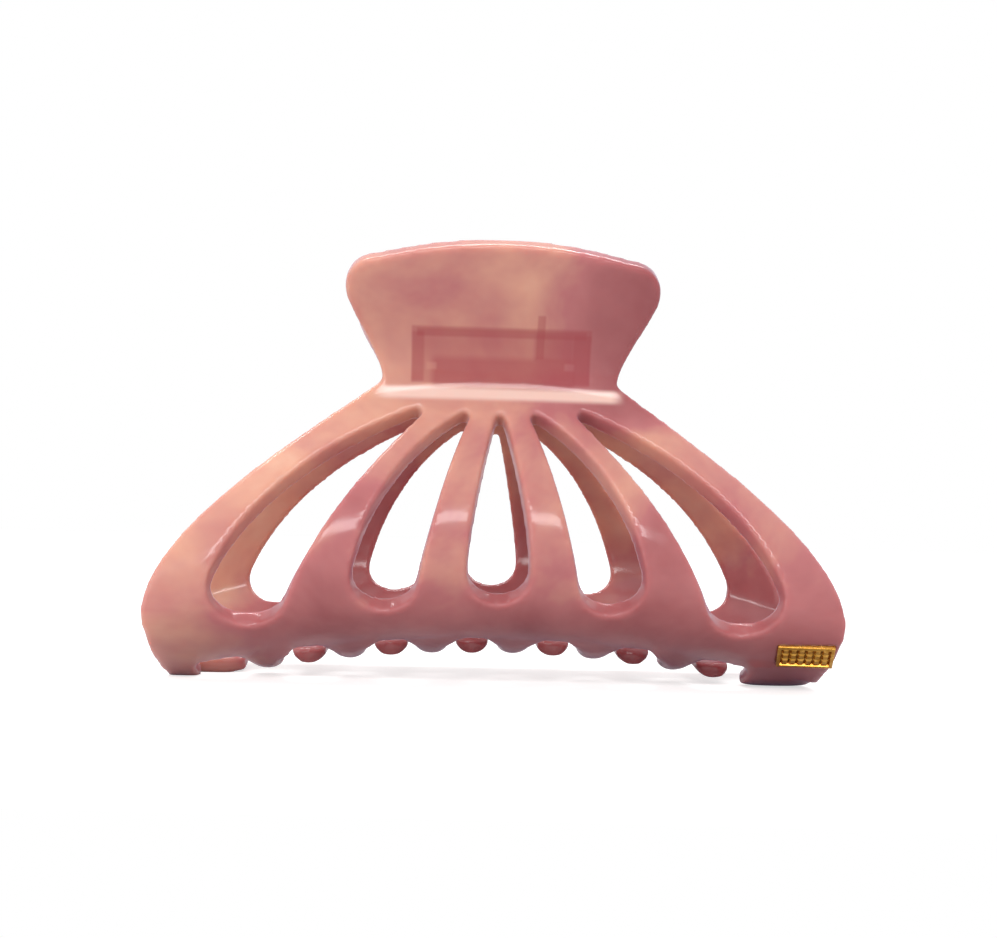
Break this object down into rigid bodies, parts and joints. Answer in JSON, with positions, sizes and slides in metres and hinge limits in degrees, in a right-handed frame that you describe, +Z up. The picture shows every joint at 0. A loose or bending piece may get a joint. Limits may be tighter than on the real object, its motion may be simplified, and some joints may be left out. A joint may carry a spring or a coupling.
{
  "type": "hair claw clip",
  "caption": "Large spring hair claw clip: two slotted curved jaws with meshing teeth, fan-shaped thumb plates and a hinge pin.",
  "frame": {"origin": "under the middle of the closed clip, level with the tips of its four end feet", "axes": "+X along the clip's width, the front jaw on the -Y side, +Z up to the handles"},
  "size_m": [0.106, 0.044, 0.0691],
  "materials": {
    "pink_resin": "glossy, slightly translucent, marbled peach and mauve",
    "steel": "drawn rod",
    "spring_wire": "drawn wire",
    "gold_plate": "polished gold plate"
  },
  "bodies": {
    "front": {"front_jaw": "pink_resin", "hinge_pin": "steel", "torsion_spring": "spring_wire", "emblem_plate": "gold_plate"},
    "back": {"back_jaw": "pink_resin"}
  },
  "joints": [
    {"name": "jaw_hinge", "type": "hinge", "parent": "front", "child": "back", "pos_m": [0, 0, 0.0526], "axis": [1, 0, 0], "range_deg": [0, 80], "stiffness_Nm_per_rad": 0.12, "springref_deg": -45.84, "deforming": ["torsion_spring"]}
  ]
}
